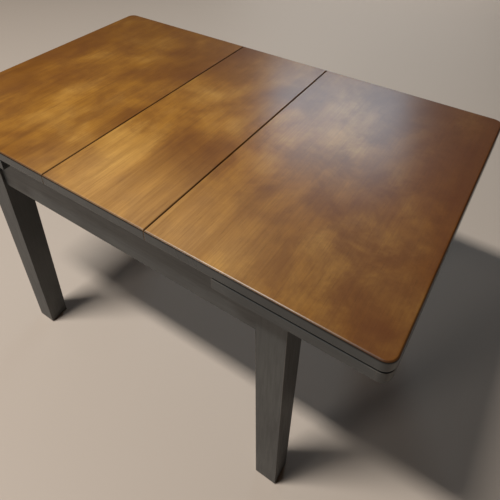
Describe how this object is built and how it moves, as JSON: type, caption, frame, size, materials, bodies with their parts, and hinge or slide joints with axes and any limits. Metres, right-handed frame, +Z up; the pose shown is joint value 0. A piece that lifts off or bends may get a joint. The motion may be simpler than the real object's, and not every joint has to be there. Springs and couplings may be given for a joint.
{
  "type": "extending dining table",
  "caption": "Rectangular extending dining table with sliding end tops, a drop-in centre leaf, tapered painted legs, aprons and a skirt under each end.",
  "frame": {"origin": "on the floor under the middle of the table, at the underside of the foot glides", "axes": "+X along the length to the right end, -Y to the front long side, +Z up"},
  "size_m": [1.3, 0.795, 0.765],
  "materials": {
    "stained_top": "satin",
    "grey_paint": "satin",
    "plain_beech": "matte",
    "zinc_steel": "satin",
    "nylon": "matte"
  },
  "bodies": {
    "base_frame": {"corner_brace_back_left": "plain_beech", "corner_brace_back_right": "plain_beech", "corner_brace_front_left": "plain_beech", "corner_brace_front_right": "plain_beech", "cross_bearer_left": "plain_beech", "cross_bearer_right": "plain_beech", "end_apron_left": "grey_paint", "end_apron_right": "grey_paint", "foot_glide_back_left": "nylon", "foot_glide_back_right": "nylon", "foot_glide_front_left": "nylon", "foot_glide_front_right": "nylon", "hanger_bolt_back_left": "zinc_steel", "hanger_bolt_back_right": "zinc_steel", "hanger_bolt_front_left": "zinc_steel", "hanger_bolt_front_right": "zinc_steel", "leg_back_left": "grey_paint", "leg_back_right": "grey_paint", "leg_front_left": "grey_paint", "leg_front_right": "grey_paint", "side_apron_back": "grey_paint", "side_apron_front": "grey_paint"},
    "left_end": {"end_top_left": "stained_top", "runner_back_left": "plain_beech", "runner_front_left": "plain_beech", "runner_screw_back_left_1": "zinc_steel", "runner_screw_back_left_2": "zinc_steel", "runner_screw_front_left_1": "zinc_steel", "runner_screw_front_left_2": "zinc_steel", "runner_stop_back_left": "plain_beech", "runner_stop_front_left": "plain_beech", "skirt_arm_back_left": "grey_paint", "skirt_arm_front_left": "grey_paint", "skirt_corner_back_left": "grey_paint", "skirt_corner_front_left": "grey_paint", "skirt_rail_left": "grey_paint"},
    "right_end": {"end_top_right": "stained_top", "runner_back_right": "plain_beech", "runner_front_right": "plain_beech", "runner_screw_back_right_1": "zinc_steel", "runner_screw_back_right_2": "zinc_steel", "runner_screw_front_right_1": "zinc_steel", "runner_screw_front_right_2": "zinc_steel", "runner_stop_back_right": "plain_beech", "runner_stop_front_right": "plain_beech", "skirt_arm_back_right": "grey_paint", "skirt_arm_front_right": "grey_paint", "skirt_corner_back_right": "grey_paint", "skirt_corner_front_right": "grey_paint", "skirt_rail_right": "grey_paint"},
    "centre_leaf": {"centre_leaf": "stained_top", "leaf_batten_left": "plain_beech", "leaf_batten_right": "plain_beech", "leaf_peg_back_left": "plain_beech", "leaf_peg_back_right": "plain_beech", "leaf_peg_front_left": "plain_beech", "leaf_peg_front_right": "plain_beech"}
  },
  "joints": [
    {"name": "left_end_slide", "type": "slide", "parent": "base_frame", "child": "left_end", "axis": [-1, 0, 0], "range_m": [0, 0.03]},
    {"name": "right_end_slide", "type": "slide", "parent": "base_frame", "child": "right_end", "axis": [1, 0, 0], "range_m": [0, 0.03]},
    {"name": "centre_leaf_lift", "type": "slide", "parent": "base_frame", "child": "centre_leaf", "axis": [0, 0, 1], "range_m": [0, 0.3]}
  ]
}
